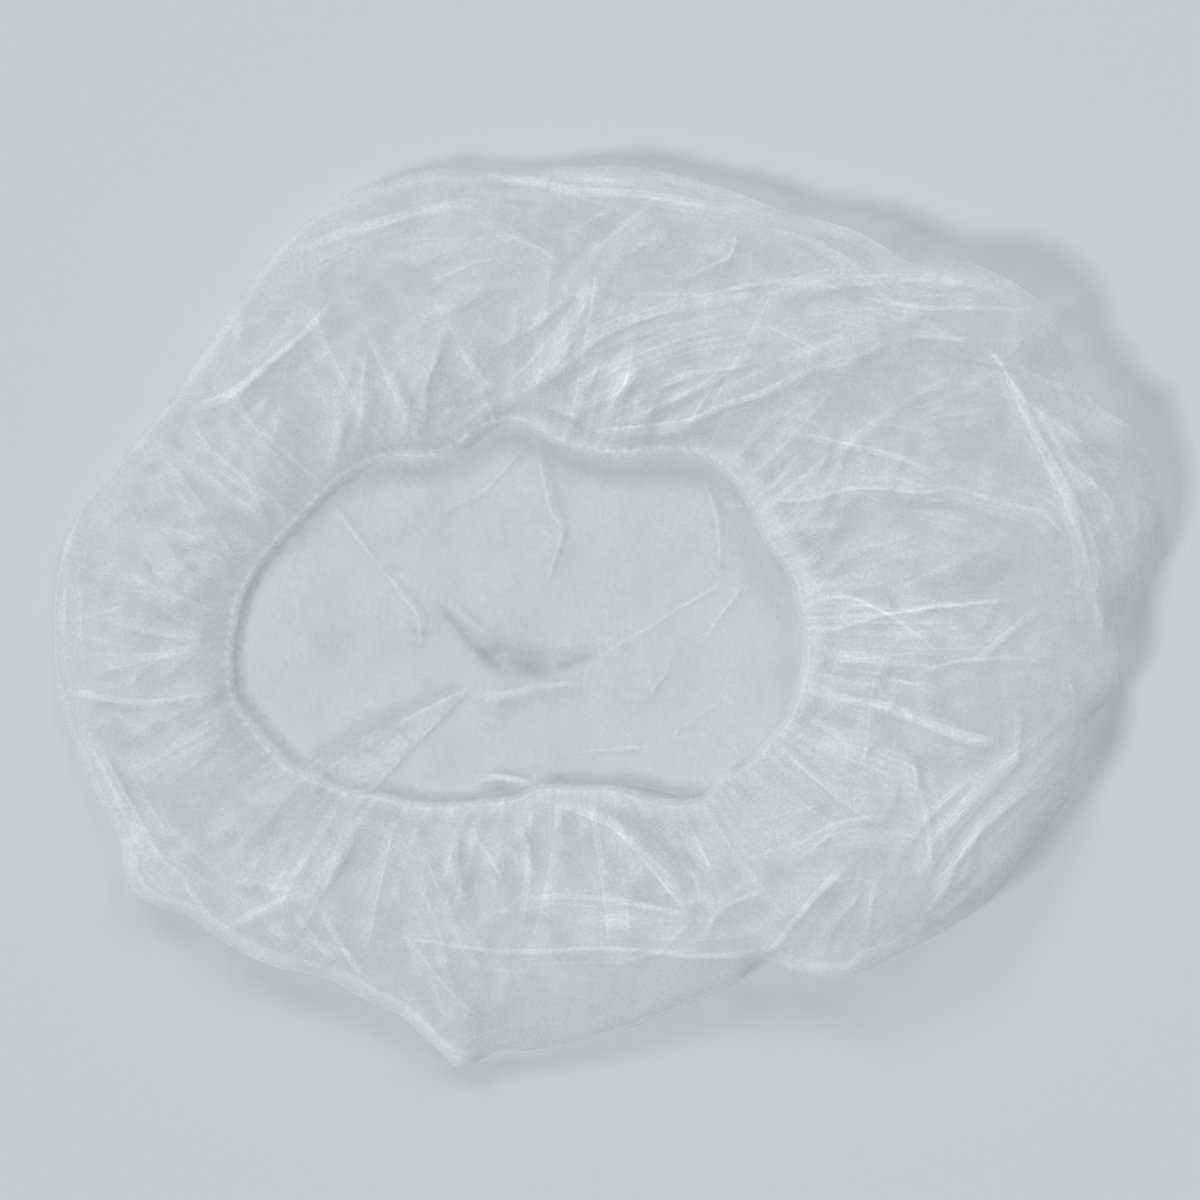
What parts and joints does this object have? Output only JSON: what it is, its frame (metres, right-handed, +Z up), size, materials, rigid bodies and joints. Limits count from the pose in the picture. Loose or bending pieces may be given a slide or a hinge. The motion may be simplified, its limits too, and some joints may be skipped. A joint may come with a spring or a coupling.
{
  "type": "disposable bouffant cap",
  "caption": "Disposable bouffant hair cap: a hollow sack of thin white nonwoven cloth gathered into an elastic hem, lying open on its crown.",
  "frame": {"origin": "middle of the cap's box as it lies, on the surface that it rests on", "axes": "+Z up, out of the mouth; +X along the cap's length, from the mouth towards the wider, puffed side; +Y across its width"},
  "size_m": [0.352, 0.2884, 0.0423],
  "materials": {
    "nonwoven": "thin see-through white spunbonded nonwoven, matt",
    "hem": "white gathered and stitched elastic edge, matt"
  },
  "bodies": {
    "root": {"cap_shell": "nonwoven", "elastic_hem": "hem"}
  },
  "joints": []
}
